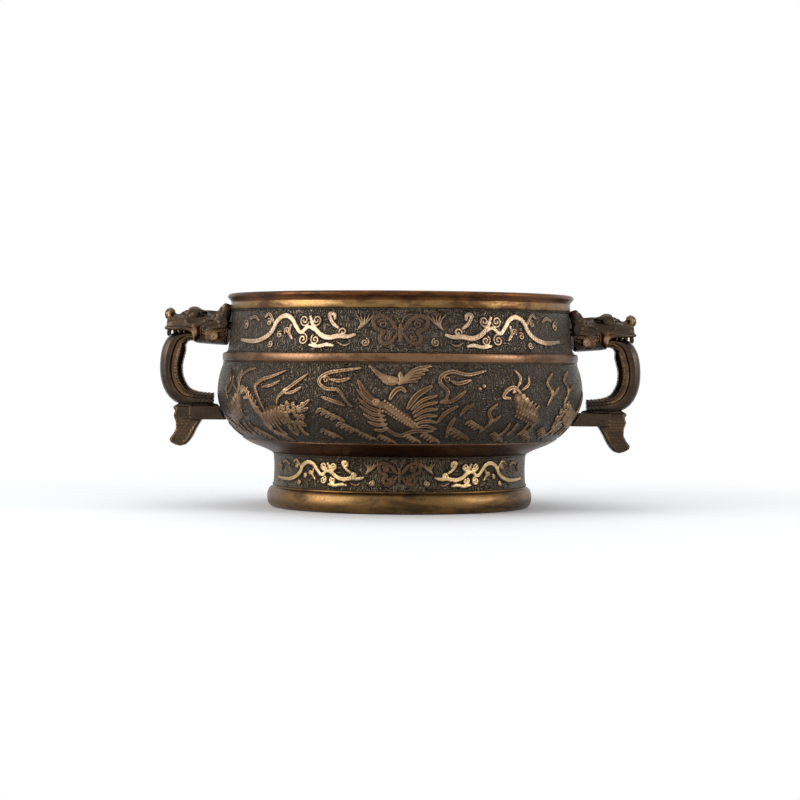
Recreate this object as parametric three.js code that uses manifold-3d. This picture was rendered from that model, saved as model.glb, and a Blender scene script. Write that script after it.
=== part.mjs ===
// Bronze incense burner in the shape of an archaic food vessel: a low round bowl with a flared lip,
// a high foot ring, and two handles cast as horned beasts that hold a loop in the mouth.
// Millimetres, Z up. The origin is the centre of the circle that the foot stands on, X runs through
// both handles, and the front of the burner faces -Y.

import * as THREE from 'three';
import { mergeVertices } from 'three/addons/utils/BufferGeometryUtils.js';
import Module from 'manifold-3d';

const wasm = await Module();
wasm.setup();

// Sizes of the vessel, from the table up
const footHeight = 28.4;
const undersideRise = 6.4;
const bellyHeight = 40.4;
const filletHeight = 4.4;
const neckHeight = 22.2;
const collarHeight = 3.5;
const lipHeight = 4.7;

const wall = 3.4;
const lipRadius = 90;
const collarRadius = 88.4;
const neckTopRadius = 87.9;
const neckBottomRadius = 90.7;
const filletRadius = 92.7;
const bellyTopRadius = 92.2;
const bellyRadius = 95.8;
const bellyBottomRadius = 81;
const footRadius = 66.2;
const footRollRadius = 69.1;
const footRollHeight = 10.8;
const footFlatWidth = 4.6;
const footEdge = 1.6;

const floorThickness = 3;
const floorFlangeRadius = 54;
const floorPlugRadius = 49.6;
const floorPlugDepth = 2.2;
const spigotDepth = 4.5;
const spigotThickness = 4.2;

// Sizes of a handle
const headAboveFillet = 13.9;
const headHalfWidth = 10.5;
const loopHalfWidth = 7;
const pendantHalfWidth = 4.4;
const pendantBevel = 1.2;
const lugHalfWidth = 5.4;
const lugHeight = 7;
const lugBelowHead = 45.5;
const rightHandleDrop = 2.2;
const pegSide = 3.6;
const pegOut = 21;
const pegTop = -36;
const pegBottom = -46;

// Sizes of the rivets that hold the handles
const rivetRadius = 1.9;
const rivetHeadRadius = 3.6;
const rivetHeadHeight = 1.8;
const rivetHeadSink = 1.2;
const neckRivetDepth = 9;
const bellyRivetDepth = 9;
const neckRivetSpacing = 10;

const clearance = 0.3; // between a piece and the one that it is cut to fit
const roundSteps = 48; // facets round the vessel
const rivetSteps = 16;

// Heights that follow from the sizes above
const bellyBottom = footHeight + undersideRise;
const filletBottom = bellyBottom + bellyHeight;
const neckBottom = filletBottom + filletHeight;
const neckTop = neckBottom + neckHeight;
const collarTop = neckTop + collarHeight;
const rimTop = collarTop + lipHeight;
const bellyBulge = bellyBottom + 0.587 * bellyHeight;
const floorTop = footHeight + floorThickness + floorPlugDepth;
const headHeight = neckBottom + headAboveFillet;

const bronze = (color, roughness) =>
  new THREE.MeshStandardMaterial({ color, roughness, metalness: 0.9 });
const patina = bronze(0x3f362e, 0.55);
const brown = bronze(0x5a3d22, 0.45);
const gilt = bronze(0x7a5a30, 0.4);

// A closed geometry as a solid that can be joined and cut
function solidOf(geometry) {
  const bare = geometry.clone();
  bare.deleteAttribute('normal');
  bare.deleteAttribute('uv');
  const merged = mergeVertices(bare, 1e-4);
  return new wasm.Manifold(
    new wasm.Mesh({
      numProp: 3,
      vertProperties: merged.attributes.position.array,
      triVerts: new Uint32Array(merged.index.array),
    }),
  );
}

function meshOf(name, solid, material) {
  const { vertProperties, triVerts } = solid.getMesh();
  const geometry = new THREE.BufferGeometry();
  geometry.setAttribute('position', new THREE.BufferAttribute(new Float32Array(vertProperties), 3));
  geometry.setIndex(new THREE.BufferAttribute(triVerts, 1));
  geometry.computeVertexNormals();
  const mesh = new THREE.Mesh(geometry, material);
  mesh.name = name;
  return mesh;
}

// A profile of [radius, height] points turned round the Z axis
function turned(profile, steps = roundSteps) {
  const points = profile.map(([radius, height]) => new THREE.Vector2(radius, height));
  return solidOf(new THREE.LatheGeometry(points, steps).rotateX(Math.PI / 2));
}

// Rings of equal count joined into a closed skin, with a fan round the middle of each end
function lofted(rings) {
  const count = rings[0].length;
  const middles = [rings[0], rings.at(-1)].map((ring) =>
    ring.reduce((sum, point) => sum.add(point), new THREE.Vector3()).divideScalar(count),
  );
  const positions = [...rings.flat(), ...middles].flatMap((point) => point.toArray());
  const index = [];
  for (let ring = 0; ring < rings.length - 1; ring++) {
    for (let i = 0; i < count; i++) {
      const a = ring * count + i;
      const b = ring * count + ((i + 1) % count);
      index.push(a, b, a + count, b, b + count, a + count);
    }
  }
  const last = (rings.length - 1) * count;
  const [firstMiddle, lastMiddle] = [rings.length * count, rings.length * count + 1];
  for (let i = 0; i < count; i++) {
    const next = (i + 1) % count;
    index.push(firstMiddle, next, i);
    index.push(lastMiddle, last + i, last + next);
  }
  const geometry = new THREE.BufferGeometry();
  geometry.setAttribute('position', new THREE.Float32BufferAttribute(positions, 3));
  geometry.setIndex(index);
  return solidOf(geometry);
}

function block(x, y, z, position) {
  return solidOf(new THREE.BoxGeometry(x, y, z).translate(...position));
}

// An ellipsoid with its half sizes along X, Y and Z, tilted in the plane of the handle
function knob(halfSizes, position, tilt = 0) {
  const ball = new THREE.SphereGeometry(1, 10, 7).scale(...halfSizes);
  return solidOf(ball.rotateY(-tilt).translate(...position));
}

// A knob on each side of the handle's plane
function knobPair(halfSizes, [out, side, up], tilt = 0) {
  return knob(halfSizes, [out, side, up], tilt).add(knob(halfSizes, [out, -side, up], tilt));
}

const joined = (solids) => solids.reduce((all, solid) => all.add(solid));
const bezier = (points, steps) =>
  new THREE.CubicBezierCurve(...points.map(([x, y]) => new THREE.Vector2(x, y)))
    .getPoints(steps)
    .map(({ x, y }) => [x, y]);

// The outside of the bowl from the foot to the collar, as [radius, height] points
function outsideProfile() {
  const lowerBelly = bezier(
    [
      [bellyBottomRadius, bellyBottom],
      [bellyBottomRadius + 5, bellyBottom + 4],
      [bellyRadius, bellyBulge - 11],
      [bellyRadius, bellyBulge],
    ],
    7,
  );
  const upperBelly = bezier(
    [
      [bellyRadius, bellyBulge],
      [bellyRadius, bellyBulge + 7.5],
      [bellyTopRadius + 2, filletBottom - 4.2],
      [bellyTopRadius, filletBottom],
    ],
    5,
  );
  const neckWaist = (neckBottomRadius + neckTopRadius) / 2 + 0.4;
  return [
    ...lowerBelly,
    ...upperBelly.slice(1),
    [filletRadius, filletBottom],
    [filletRadius, neckBottom],
    [neckBottomRadius, neckBottom],
    [neckWaist, (neckBottom + neckTop) / 2],
    [neckTopRadius, neckTop],
    [collarRadius, neckTop],
    [collarRadius, collarTop],
  ];
}

// The outer radius of the bowl at a height between the foot and the collar
function outerRadiusAt(height) {
  const profile = outsideProfile();
  const above = profile.findIndex(([, z], i) => i > 0 && z >= height);
  const [r0, z0] = profile[above - 1];
  const [r1, z1] = profile[above];
  return r0 + ((r1 - r0) * (height - z0)) / (z1 - z0);
}

// The wall of the bowl, grown on both sides by the given amount
function bowlWall(grow = 0) {
  const outside = outsideProfile().map(([r, z]) => [r + grow, z]);
  const lip = [
    [lipRadius - 1 + grow, rimTop - 3.2],
    [lipRadius + grow, rimTop - 1.6],
    [lipRadius - 0.7 + grow, rimTop - 0.4],
    [lipRadius - 1.8, rimTop],
    [lipRadius - 3.4, rimTop],
    [lipRadius - 4.6 - grow, rimTop - 0.9],
  ];
  const insideNeck = [
    [collarRadius - wall - grow, collarTop - 1],
    [neckTopRadius - wall - grow, neckTop],
    [neckBottomRadius - wall - grow, neckBottom],
    [bellyTopRadius - wall - grow, filletBottom],
  ];
  const insideBelly = bezier(
    [
      [bellyRadius - wall - grow, bellyBulge],
      [bellyRadius - wall - grow, bellyBulge - 12],
      [bellyBottomRadius + 2 - grow, floorTop + 5],
      [bellyBottomRadius - 9 - grow, floorTop],
    ],
    6,
  );
  const spigotOuter = footRadius - wall - clearance;
  const ledge = floorTop - floorThickness;
  const bottom = [
    [floorFlangeRadius + clearance, floorTop],
    [floorFlangeRadius + clearance, ledge],
    [floorPlugRadius + clearance, ledge],
    [floorPlugRadius + clearance, footHeight],
    [spigotOuter - spigotThickness, footHeight],
    [spigotOuter - spigotThickness, footHeight - spigotDepth],
    [spigotOuter, footHeight - spigotDepth],
    [spigotOuter, footHeight],
    [footRadius + 1, footHeight],
    [bellyBottomRadius - 0.7, bellyBottom - 0.3],
  ];
  const loop = [...outside, ...lip, ...insideNeck, ...insideBelly, ...bottom];
  return turned([...loop, loop[0]]);
}

// Everything inside the outer skin, to cut what seats on it
function bowlCore(grow) {
  const outside = outsideProfile().map(([r, z]) => [r + grow, z]);
  return turned([
    [0, footHeight],
    [footRadius, footHeight],
    ...outside,
    [lipRadius + grow, rimTop],
    [0, rimTop],
  ]);
}

function floorPlate() {
  return turned([
    [0, floorTop - floorThickness - floorPlugDepth],
    [floorPlugRadius, floorTop - floorThickness - floorPlugDepth],
    [floorPlugRadius, floorTop - floorThickness],
    [floorFlangeRadius, floorTop - floorThickness],
    [floorFlangeRadius, floorTop],
    [0, floorTop],
  ]);
}

function footRing() {
  const flatOuter = footRollRadius - footEdge - 1.8;
  const flatInner = flatOuter - footFlatWidth;
  const inside = footRadius - wall;
  const loop = [
    [flatOuter, 0],
    [footRollRadius - footEdge * 0.9, 0.7],
    [footRollRadius - footEdge * 0.25, footRollHeight * 0.22],
    [footRollRadius, footRollHeight * 0.45],
    [footRollRadius - footEdge * 0.4, footRollHeight * 0.75],
    [footRadius + 0.5, footRollHeight * 0.95],
    [footRadius - 0.3, footRollHeight + 0.6],
    [footRadius - 0.4, footHeight / 2 + 2],
    [footRadius, footHeight - 1.5],
    [footRadius, footHeight],
    [inside, footHeight],
    [inside, footRollHeight + 4],
    [flatInner, footRollHeight * 0.5],
    [flatInner, 0],
  ];
  return turned([...loop, loop[0]]);
}

// Head sections in the handle's own frame: out from the seat, top and bottom from the head's
// height, and half width as a share of the widest
const headSections = [
  [-9, 8, -10, 0.86],
  [3, 8.2, -10.1, 0.98],
  [8, 6.4, -9.8, 1],
  [12, 7.8, -9.5, 0.97],
  [16, 8.7, -9.2, 0.92],
  [20, 8, -8.4, 0.86],
  [23.5, 6, -7, 0.78],
  [27, 5, -5, 0.7],
  [30, 4.2, -4, 0.63],
  [32.6, 3.2, -3, 0.53],
];

// Loop stations: centre out and up, half thickness, and half width as a share of the widest
const loopStations = [
  [17.5, -5.4, 2.4, 0.64],
  [22.5, -5.4, 3, 0.72],
  [26.8, -8, 5.2, 0.88],
  [29, -13, 6.2, 0.97],
  [30.4, -20.5, 5.9, 1],
  [29.7, -28, 5.9, 1],
  [26.7, -33.9, 5.8, 1],
  [22, -37, 4.8, 0.94],
  [15.5, -37.9, 3.6, 0.88],
  [8.3, -38.3, 3.3, 0.8],
];

// Half of the loop's section, from its outer side to its inner one, as shares of its half
// thickness and half width: a rounded back, a channel, a narrow bead and an inner bevel
const loopSection = [
  [1, 0.3],
  [0.82, 0.74],
  [0.45, 1],
  [0.02, 0.98],
  [-0.08, 0.8],
  [-0.42, 0.8],
  [-0.5, 0.92],
  [-0.64, 0.9],
  [-0.96, 0.5],
];

// Side view of the pendant under the loop, with its hooked tip
const pendantOutline = [
  [27.6, -42],
  [28.1, -43.9],
  [29, -47],
  [27.8, -50.2],
  [27.7, -53.8],
  [29, -56.4],
  [31.1, -59.1],
  [30.6, -60.8],
  [28, -62.3],
  [25.3, -62.9],
  [22.7, -62.2],
  [20.6, -60.1],
  [18, -55.4],
  [15.4, -50.7],
  [12.6, -46],
  [12.6, -42],
];

function ovalRing(x, top, bottom, halfWidth, count = 16, squareness = 0.78) {
  const soft = (value) => Math.sign(value) * Math.abs(value) ** squareness;
  const points = [];
  for (let i = 0; i < count; i++) {
    const angle = (2 * Math.PI * i) / count;
    const y = halfWidth * soft(Math.cos(angle));
    const z = (top + bottom) / 2 + ((top - bottom) / 2) * soft(Math.sin(angle));
    points.push(new THREE.Vector3(x, y, z));
  }
  return points;
}

function loopBody(grow = 0) {
  const centres = new THREE.SplineCurve(loopStations.map(([x, y]) => new THREE.Vector2(x, y)));
  const sizes = new THREE.SplineCurve(loopStations.map(([, , t, w]) => new THREE.Vector2(t, w)));
  const steps = 27;
  const rings = [];
  for (let step = 0; step <= steps; step++) {
    const t = step / steps;
    const centre = centres.getPoint(t);
    const along = centres.getTangent(t);
    if (step === 0) centre.addScaledVector(along, -grow);
    if (step === steps) centre.addScaledVector(along, grow);
    const [halfThickness, share] = sizes.getPoint(t).toArray();
    const half = loopSection.map(([out, side]) => [
      out * (halfThickness + grow),
      side * (share * loopHalfWidth + grow),
    ]);
    const whole = [...half.map(([out, side]) => [out, -side]), ...half.toReversed()];
    rings.push(
      whole.map(
        ([out, side]) =>
          new THREE.Vector3(centre.x - along.y * out, side, centre.y + along.x * out),
      ),
    );
  }
  return lofted(rings);
}

function headBody() {
  const skull = lofted(
    headSections.map(([x, top, bottom, share]) => ovalRing(x, top, bottom, share * headHalfWidth)),
  );
  const lipRidge = lofted(
    [
      [19, 0.94],
      [27, 0.8],
      [33.6, 0.62],
    ].map(([x, share]) => ovalRing(x, -0.5, -2.15, share * headHalfWidth, 8, 0.5)),
  );
  const ears = knobPair([4.6, 2.6, 8.2], [3, 0.76 * headHalfWidth, 4.2], 0.32);
  const nose = knob([2.8, 4.4, 3.4], [31.4, 0, 6.2], 0.5);
  const brow = knob([3.4, 5.2, 2], [18.4, 0, 8.2]);
  const eyes = knobPair([2.9, 2.4, 2.2], [17.6, 0.74 * headHalfWidth, 5.4]);
  const jowls = knobPair([2.2, 1.8, 5], [17.3, 0.85 * headHalfWidth, -3.9]);
  const cheeks = knobPair([4.2, 1.8, 4.6], [8.5, 0.9 * headHalfWidth, -4.6]);
  const mouth = block(20, 2 * headHalfWidth + 4, 12, [30, 0, -8.4]).add(
    solidOf(
      new THREE.CylinderGeometry(3.4, 3.4, 2 * headHalfWidth + 4, 20).translate(20.4, 0, -5.8),
    ),
  );
  return joined([skull, ears, nose, brow, eyes, jowls, cheeks]).subtract(mouth).add(lipRidge);
}

function pendantBody() {
  const shape = new THREE.Shape(pendantOutline.map(([x, y]) => new THREE.Vector2(x, y)));
  const leaf = new THREE.ExtrudeGeometry(shape, {
    depth: 2 * (pendantHalfWidth - pendantBevel),
    bevelSize: 0.9,
    bevelOffset: -0.9,
    bevelThickness: pendantBevel,
    bevelSegments: 2,
  });
  leaf.translate(0, 0, pendantBevel - pendantHalfWidth).rotateX(Math.PI / 2);
  const lugLength = 34;
  const lug = block(lugLength, 2 * lugHalfWidth, lugHeight, [
    20 - lugLength / 2,
    0,
    -lugBelowHead,
  ]);
  return solidOf(leaf).add(lug);
}

function peg(grow) {
  const side = pegSide + 2 * grow;
  const height = pegTop - pegBottom + grow;
  return block(side, side, height, [pegOut, 0, pegBottom + height / 2]);
}

// A hole or a shank along X from x0 to x1
function rod(radius, x0, x1, y, z) {
  const cylinder = new THREE.CylinderGeometry(radius, radius, x1 - x0, rivetSteps);
  return solidOf(cylinder.rotateZ(Math.PI / 2).translate((x0 + x1) / 2, y, z));
}

// Where the rivets of a handle go: name, side and height in the handle's frame, and how deep
const rivetPlaces = [
  ['neck_rivet_front', -neckRivetSpacing / 2, 0, neckRivetDepth],
  ['neck_rivet_back', neckRivetSpacing / 2, 0, neckRivetDepth],
  ['belly_rivet', 0, -lugBelowHead, bellyRivetDepth],
];

// A rivet put in from inside the bowl: half a dome against the wall, and the shank
function rivet(radiusOutside, y, z, depth, wallThere) {
  const seat = radiusOutside - wall;
  const domeLength = rivetHeadHeight + rivetHeadSink;
  const dome = new THREE.SphereGeometry(rivetHeadRadius, rivetSteps, 8);
  dome.scale(domeLength / rivetHeadRadius, 1, 1).translate(seat, y, z);
  const outerHalf = block(domeLength + 1, 3 * rivetHeadRadius, 3 * rivetHeadRadius, [
    seat + (domeLength + 1) / 2,
    y,
    z,
  ]);
  const shank = rod(rivetRadius, seat - rivetHeadSink, radiusOutside + depth, y, z);
  return solidOf(dome).subtract(outerHalf).subtract(wallThere).add(shank);
}

// One handle with its pieces in their own frame: X points out of the vessel, and the frame's
// origin is on the vessel's axis at the height of the head
function makeHandle(side, drop) {
  const group = new THREE.Group();
  const height = headHeight - drop;
  const seat = outerRadiusAt(headHeight);
  group.position.z = height;
  if (side === 'left') group.rotation.z = Math.PI;

  const core = bowlCore(clearance).translate([0, 0, -height]);
  const grownWall = bowlWall(clearance).translate([0, 0, -height]);
  const place = (solid) => solid.translate([seat, 0, 0]);

  const loop = place(loopBody());
  const loopRoom = place(loopBody(clearance));
  let head = place(headBody()).subtract(loopRoom).subtract(core);
  let pendant = place(pendantBody()).subtract(loopRoom).add(place(peg(0))).subtract(core);
  const loopWithSlot = loop.subtract(place(peg(clearance))).subtract(core);

  for (const [name, y, z, depth] of rivetPlaces) {
    const radiusOutside = Math.sqrt(outerRadiusAt(height + z) ** 2 - y ** 2);
    const hole = rod(
      rivetRadius + clearance,
      radiusOutside - 2,
      radiusOutside + depth + clearance,
      y,
      z,
    );
    if (z === 0) head = head.subtract(hole);
    else pendant = pendant.subtract(hole);
    const solid = rivet(radiusOutside, y, z, depth, grownWall);
    group.add(meshOf(`${side}_${name}`, solid, brown));
  }

  group.add(meshOf(`${side}_head`, head, patina));
  group.add(meshOf(`${side}_loop`, loopWithSlot, patina));
  group.add(meshOf(`${side}_pendant`, pendant, patina));
  return group;
}

// The bowl, with a hole in its wall for each rivet
function makeBowl() {
  let bowl = bowlWall();
  for (const [side, drop] of [
    [-1, 0],
    [1, rightHandleDrop],
  ]) {
    for (const [, y, z] of rivetPlaces) {
      const height = headHeight - drop + z;
      const radius = outerRadiusAt(height);
      const ends = [side * (radius - 3 * wall), side * (radius + wall)].sort((a, b) => a - b);
      bowl = bowl.subtract(rod(rivetRadius + clearance, ends[0], ends[1], side * y, height));
    }
  }
  return bowl;
}

const burner = new THREE.Group();
burner.add(meshOf('bowl', makeBowl(), brown));
burner.add(meshOf('floor_plate', floorPlate(), brown));
burner.add(meshOf('foot_ring', footRing(), gilt));
burner.add(makeHandle('left', 0));
burner.add(makeHandle('right', rightHandleDrop));

export default burner;
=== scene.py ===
import math
import bmesh
import bpy
import numpy as np
from mathutils import Matrix, Vector


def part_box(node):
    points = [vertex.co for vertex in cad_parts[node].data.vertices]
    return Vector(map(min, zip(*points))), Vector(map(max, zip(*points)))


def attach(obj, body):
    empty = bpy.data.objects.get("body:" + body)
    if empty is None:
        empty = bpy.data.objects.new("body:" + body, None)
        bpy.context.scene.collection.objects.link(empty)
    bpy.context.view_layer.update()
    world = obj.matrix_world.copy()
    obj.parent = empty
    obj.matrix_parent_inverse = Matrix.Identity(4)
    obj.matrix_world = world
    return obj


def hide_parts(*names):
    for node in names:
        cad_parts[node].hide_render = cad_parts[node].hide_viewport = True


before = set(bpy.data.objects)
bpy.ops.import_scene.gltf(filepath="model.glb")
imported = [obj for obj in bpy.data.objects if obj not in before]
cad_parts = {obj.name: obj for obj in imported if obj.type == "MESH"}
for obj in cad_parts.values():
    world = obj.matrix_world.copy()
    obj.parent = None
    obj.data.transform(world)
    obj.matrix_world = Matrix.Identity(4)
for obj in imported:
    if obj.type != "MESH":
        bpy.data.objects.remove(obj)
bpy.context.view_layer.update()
mm = 0.001

# The bowl. Radii and heights are in millimetres, as in the model that carries it.
bowl = {
    "footTop": 28.4, "bellyLow": 34.8, "bellyHigh": 75.2, "filletTop": 79.6, "neckTop": 101.8,
    "collarTop": 105.3, "collarRadius": 88.4,
    "neckTopRadius": 87.9, "neckLowRadius": 90.7, "filletRadius": 92.7, "bellyHighRadius": 92.2,
    "bellyRadius": 95.8, "bellyLowRadius": 81.0, "footRadius": 66.2, "floorTop": 33.6,
    "floorRadius": 54.3, "recess": 1.3, "steps": 360,
}
bellyMiddle = bowl["bellyLow"] + 0.587 * (bowl["bellyHigh"] - bowl["bellyLow"])


def bezier(a, b, c, d, steps):
    t = np.linspace(0, 1, steps)[:, None]
    a, b, c, d = (np.array(p, float) for p in (a, b, c, d))
    return (1 - t) ** 3 * a + 3 * (1 - t) ** 2 * t * b + 3 * (1 - t) * t ** 2 * c + t ** 3 * d


def bellyProfile():
    b = bowl
    low = bezier((b["bellyLowRadius"], b["bellyLow"]), (b["bellyLowRadius"] + 5, b["bellyLow"] + 4),
                 (b["bellyRadius"], bellyMiddle - 11), (b["bellyRadius"], bellyMiddle), 40)
    high = bezier((b["bellyRadius"], bellyMiddle), (b["bellyRadius"], bellyMiddle + 7.5),
                  (b["bellyHighRadius"] + 2, b["bellyHigh"] - 4.2),
                  (b["bellyHighRadius"], b["bellyHigh"]), 30)
    return np.vstack([low, high[1:]])


def neckProfile():
    b = bowl
    waist = (b["neckLowRadius"] + b["neckTopRadius"]) / 2 + 0.1
    return bezier((b["neckLowRadius"], b["filletTop"]), (waist, b["filletTop"] + 7),
                  (waist - 0.7, b["neckTop"] - 7), (b["neckTopRadius"], b["neckTop"]), 30)


def radiusAt(profile, z):
    return np.interp(z, profile[:, 1], profile[:, 0])


def ringMesh(name, loop, steps, lift=None, relief=None, zones=None):
    loop = np.array(loop, float)
    rows = len(loop)
    angle = np.arange(steps) / steps * 2 * math.pi - math.pi / 2
    radius = np.repeat(loop[None, :, 0], steps, 0)
    height = np.repeat(loop[None, :, 1], steps, 0)
    if lift is not None:
        radius = radius + lift
    points = np.stack([radius * np.cos(angle)[:, None], radius * np.sin(angle)[:, None], height], -1)
    col, row = np.meshgrid(np.arange(steps), np.arange(rows), indexing="ij")
    nextCol, nextRow = (col + 1) % steps, (row + 1) % rows
    index = lambda c, r: c * rows + r
    faces = np.stack([index(col, row), index(nextCol, row), index(nextCol, nextRow), index(col, nextRow)], -1)
    mesh = bpy.data.meshes.new(name)
    mesh.vertices.add(steps * rows)
    mesh.vertices.foreach_set("co", (points.reshape(-1) * mm).astype(np.float32))
    mesh.loops.add(faces.size)
    mesh.loops.foreach_set("vertex_index", faces.reshape(-1).astype(np.int32))
    mesh.polygons.add(steps * rows)
    mesh.polygons.foreach_set("loop_start", np.arange(0, faces.size, 4, dtype=np.int32))
    if zones is not None:
        mesh.polygons.foreach_set("material_index", np.tile(zones, steps).astype(np.int32))
    length = np.concatenate([[0], np.cumsum(np.linalg.norm(np.roll(loop, -1, 0) - loop, axis=1))])
    low, high = length[:-1] / length[-1], length[1:] / length[-1]
    u0, u1 = col / steps, (col + 1) / steps
    v0, v1 = low[row], high[row]
    uv = np.stack([np.stack([u0, v0], -1), np.stack([u1, v0], -1),
                   np.stack([u1, v1], -1), np.stack([u0, v1], -1)], -2)
    mesh.uv_layers.new(name="OFBake").data.foreach_set("uv", uv.reshape(-1).astype(np.float32))
    mask = np.zeros(steps * rows) if relief is None else relief.reshape(-1)
    mesh.attributes.new("relief", "FLOAT", "POINT").data.foreach_set("value", mask.astype(np.float32))
    mesh.update()
    mesh.validate()
    mesh.shade_smooth()
    if relief is None:
        mesh.set_sharp_from_angle(angle=math.radians(50))
    piece = bpy.data.objects.new(name, mesh)
    bpy.context.scene.collection.objects.link(piece)
    return piece


# A field of relief on half of the way round: along is the distance from the middle of the front
class Relief:
    def __init__(self, steps, radius, heights):
        self.along = (np.arange(steps) / steps - 0.5) * math.pi * radius
        self.up = heights - heights[0]
        self.value = np.zeros((steps, len(heights)))

    def stamp(self, s, z, width, lift):
        i = np.searchsorted(self.along, [s - width, s + width])
        j = np.searchsorted(self.up, [z - width, z + width])
        part = self.value[i[0]:i[1], j[0]:j[1]]
        if not part.size:
            return
        d2 = ((self.along[i[0]:i[1], None] - s) ** 2 + (self.up[None, j[0]:j[1]] - z) ** 2) / width ** 2
        np.maximum(part, lift * np.sqrt(np.clip(1 - d2, 0, 1)), out=part)

    def stroke(self, points, width=1.1, lift=1.0, both=True, taper=0.55):
        points = np.array(points, float)
        path = smoothPath(points, 0.3)
        for k, (s, z) in enumerate(path):
            t = k / max(1, len(path) - 1)
            w = width * (1 - taper * abs(2 * t - 1) ** 3)
            self.stamp(s, z, w, lift)
            if both:
                self.stamp(-s, z, w, lift)

    def ribbon(self, points, width=1.2, lift=1.0, both=True, taper=0.6):
        path = smoothPath(points, 0.25)
        ahead = np.gradient(path, axis=0)
        aside = np.stack([-ahead[:, 1], ahead[:, 0]], -1) / np.linalg.norm(ahead, axis=1)[:, None]
        half = width * (1 - taper * np.abs(np.linspace(-1, 1, len(path))) ** 3)
        for place, out, w in zip(path, aside, half):
            for way in ((-1, 1) if both else (1,)):
                self.stamp(way * place[0], place[1], w, 0.62 * lift)
                for edge in (place + 0.72 * w * out, place - 0.72 * w * out):
                    self.stamp(way * edge[0], edge[1], 0.42, lift)

    def spiral(self, centre, radius, turns=1.5, start=0.0, width=0.9, lift=1.0, both=True, turn=1):
        t = np.linspace(0, 1, max(10, int(turns * radius * 9)))
        angle = start + turn * t * turns * 2 * math.pi
        r = radius * (1 - 0.82 * t)
        for s, z in zip(centre[0] + r * np.cos(angle), centre[1] + r * np.sin(angle)):
            self.stamp(s, z, width, lift)
            if both:
                self.stamp(-s, z, width, lift)


def smoothPath(points, spacing):
    points = np.array(points, float)
    if len(points) < 3:
        count = max(2, int(np.linalg.norm(points[-1] - points[0]) / spacing))
        return points[0] + (points[-1] - points[0]) * np.linspace(0, 1, count)[:, None]
    ends = np.vstack([2 * points[0] - points[1], points, 2 * points[-1] - points[-2]])
    out = []
    for a, b, c, d in zip(ends[:-3], ends[1:-2], ends[2:-1], ends[3:]):
        t = np.linspace(0, 1, max(2, int(np.linalg.norm(c - b) / spacing)), endpoint=False)[:, None]
        out.append(0.5 * (2 * b + (c - a) * t + (2 * a - 5 * b + 4 * c - d) * t ** 2
                          + (3 * b - a - 3 * c + d) * t ** 3))
    return np.vstack(out + [points[-1:]])


# Ornament. Points are millimetres along the wall from the middle and above the band's lower edge.
line = {"thin": 0.55, "body": 1.25, "gold": 1.6, "brown": 0.72}


def butterfly(field, high, size):
    grown = lambda *points: [(s * size, high + z * size) for s, z in points]
    brown = line["brown"]
    field.ribbon(grown((1.6, 0.5), (4.5, 4.6), (9.5, 7.2), (13.4, 5.4), (12.6, 1.4), (8.5, -0.6), (10.3, -3.4),
                       (8.6, -6.2), (4.5, -5.4), (1.6, -1.5)), 0.9 * size, brown)
    field.spiral(grown((8.8, 3.2))[0], 2.3 * size, 1.3, 0.5, line["thin"], brown)
    field.spiral(grown((6.4, -3.2))[0], 1.6 * size, 1.2, 2.5, line["thin"], brown)
    for k in range(4):
        field.stroke(grown((2.2, 0.9 + 0.4 * k), (4.4 + 0.5 * k, 2.0 + 1.1 * k)), 0.45, 0.7 * brown)
    field.stroke(grown((0, 3.6), (0, -5.6)), 1.2 * size, brown, False)
    field.stroke(grown((0.5, 3.5), (2.2, 6.8), (5.2, 8.0)), line["thin"], brown)


def chilong(field, wide, high, width):
    at = lambda *points: [(s * wide, z * high) for s, z in points]
    gold = line["gold"]
    thin, body = line["thin"], line["body"] * width
    field.spiral(at((28.8, 9.8))[0], 2.0 * high, 1.0, 0, thin, gold)
    field.ribbon(at((22.5, 8.6), (26, 7.6), (31, 7.8), (36.5, 7.0), (41, 8.6), (45, 12.5), (47.5, 17.6)),
                 body, gold)
    field.ribbon(at((31.2, 11.6), (34.5, 14.2), (36.5, 18.2), (33.8, 18.4), (33.4, 15.8)), 0.75 * body, gold)
    field.ribbon(at((44.6, 10.6), (48, 12.2), (52.5, 9.6), (55.6, 12.4), (59, 16.4), (63.5, 17.8), (68.5, 15.4),
                    (72.4, 9.8), (78.9, 6.4), (88, 5.2), (101, 6)), body, gold)
    field.spiral(at((50.6, 15.4))[0], 2.9 * high, 1.5, 3.5, thin, gold)
    field.spiral(at((43.4, 15.4))[0], 2.7 * high, 1.5, -0.5, thin, gold, turn=-1)
    field.spiral(at((51.0, 6.2))[0], 2.9 * high, 1.5, 1.5, thin, gold)
    field.spiral(at((43.8, 6.0))[0], 2.5 * high, 1.4, 1.0, thin, gold, turn=-1)
    field.ribbon(at((47, 3.4), (42, 2.8), (37, 3.6), (33.5, 3.0)), 0.7 * body, gold)
    for s, z, turn in ((61.5, 10.4, 1), (66.4, 8.4, -1), (75.2, 14.6, 1), (72.6, 4.0, -1)):
        field.spiral(at((s, z))[0], 1.9 * high, 1.3, 0.6 * s, thin, 1.0, turn=turn)
    field.ribbon(at((70, 12.8), (75, 18.6), (78.8, 17.2)), 0.6 * body)
    field.ribbon(at((59, 13.4), (60, 9.5), (57.6, 6.2)), 0.6 * body)
    field.spiral(at((97, 13.5))[0], 2.6 * high, 1.5, 0.5, thin, 1.0)
    field.ribbon(at((84, 15.5), (88, 17.5), (93, 16.4)), 0.6 * body)
    field.spiral(at((17.4, 4.8))[0], 2.1 * high, 1.4, 2.0, thin, 1.0)
    field.stroke(at((24.5, 4.6), (28, 3.2), (32, 5.0)), thin, 0.9)
    for k in range(5):
        field.stroke(at((21.6, 10.6), (19.8 - 0.7 * k, 14.2), (22.6 - 2.4 * k, 18.6)), thin, 0.85)


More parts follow.
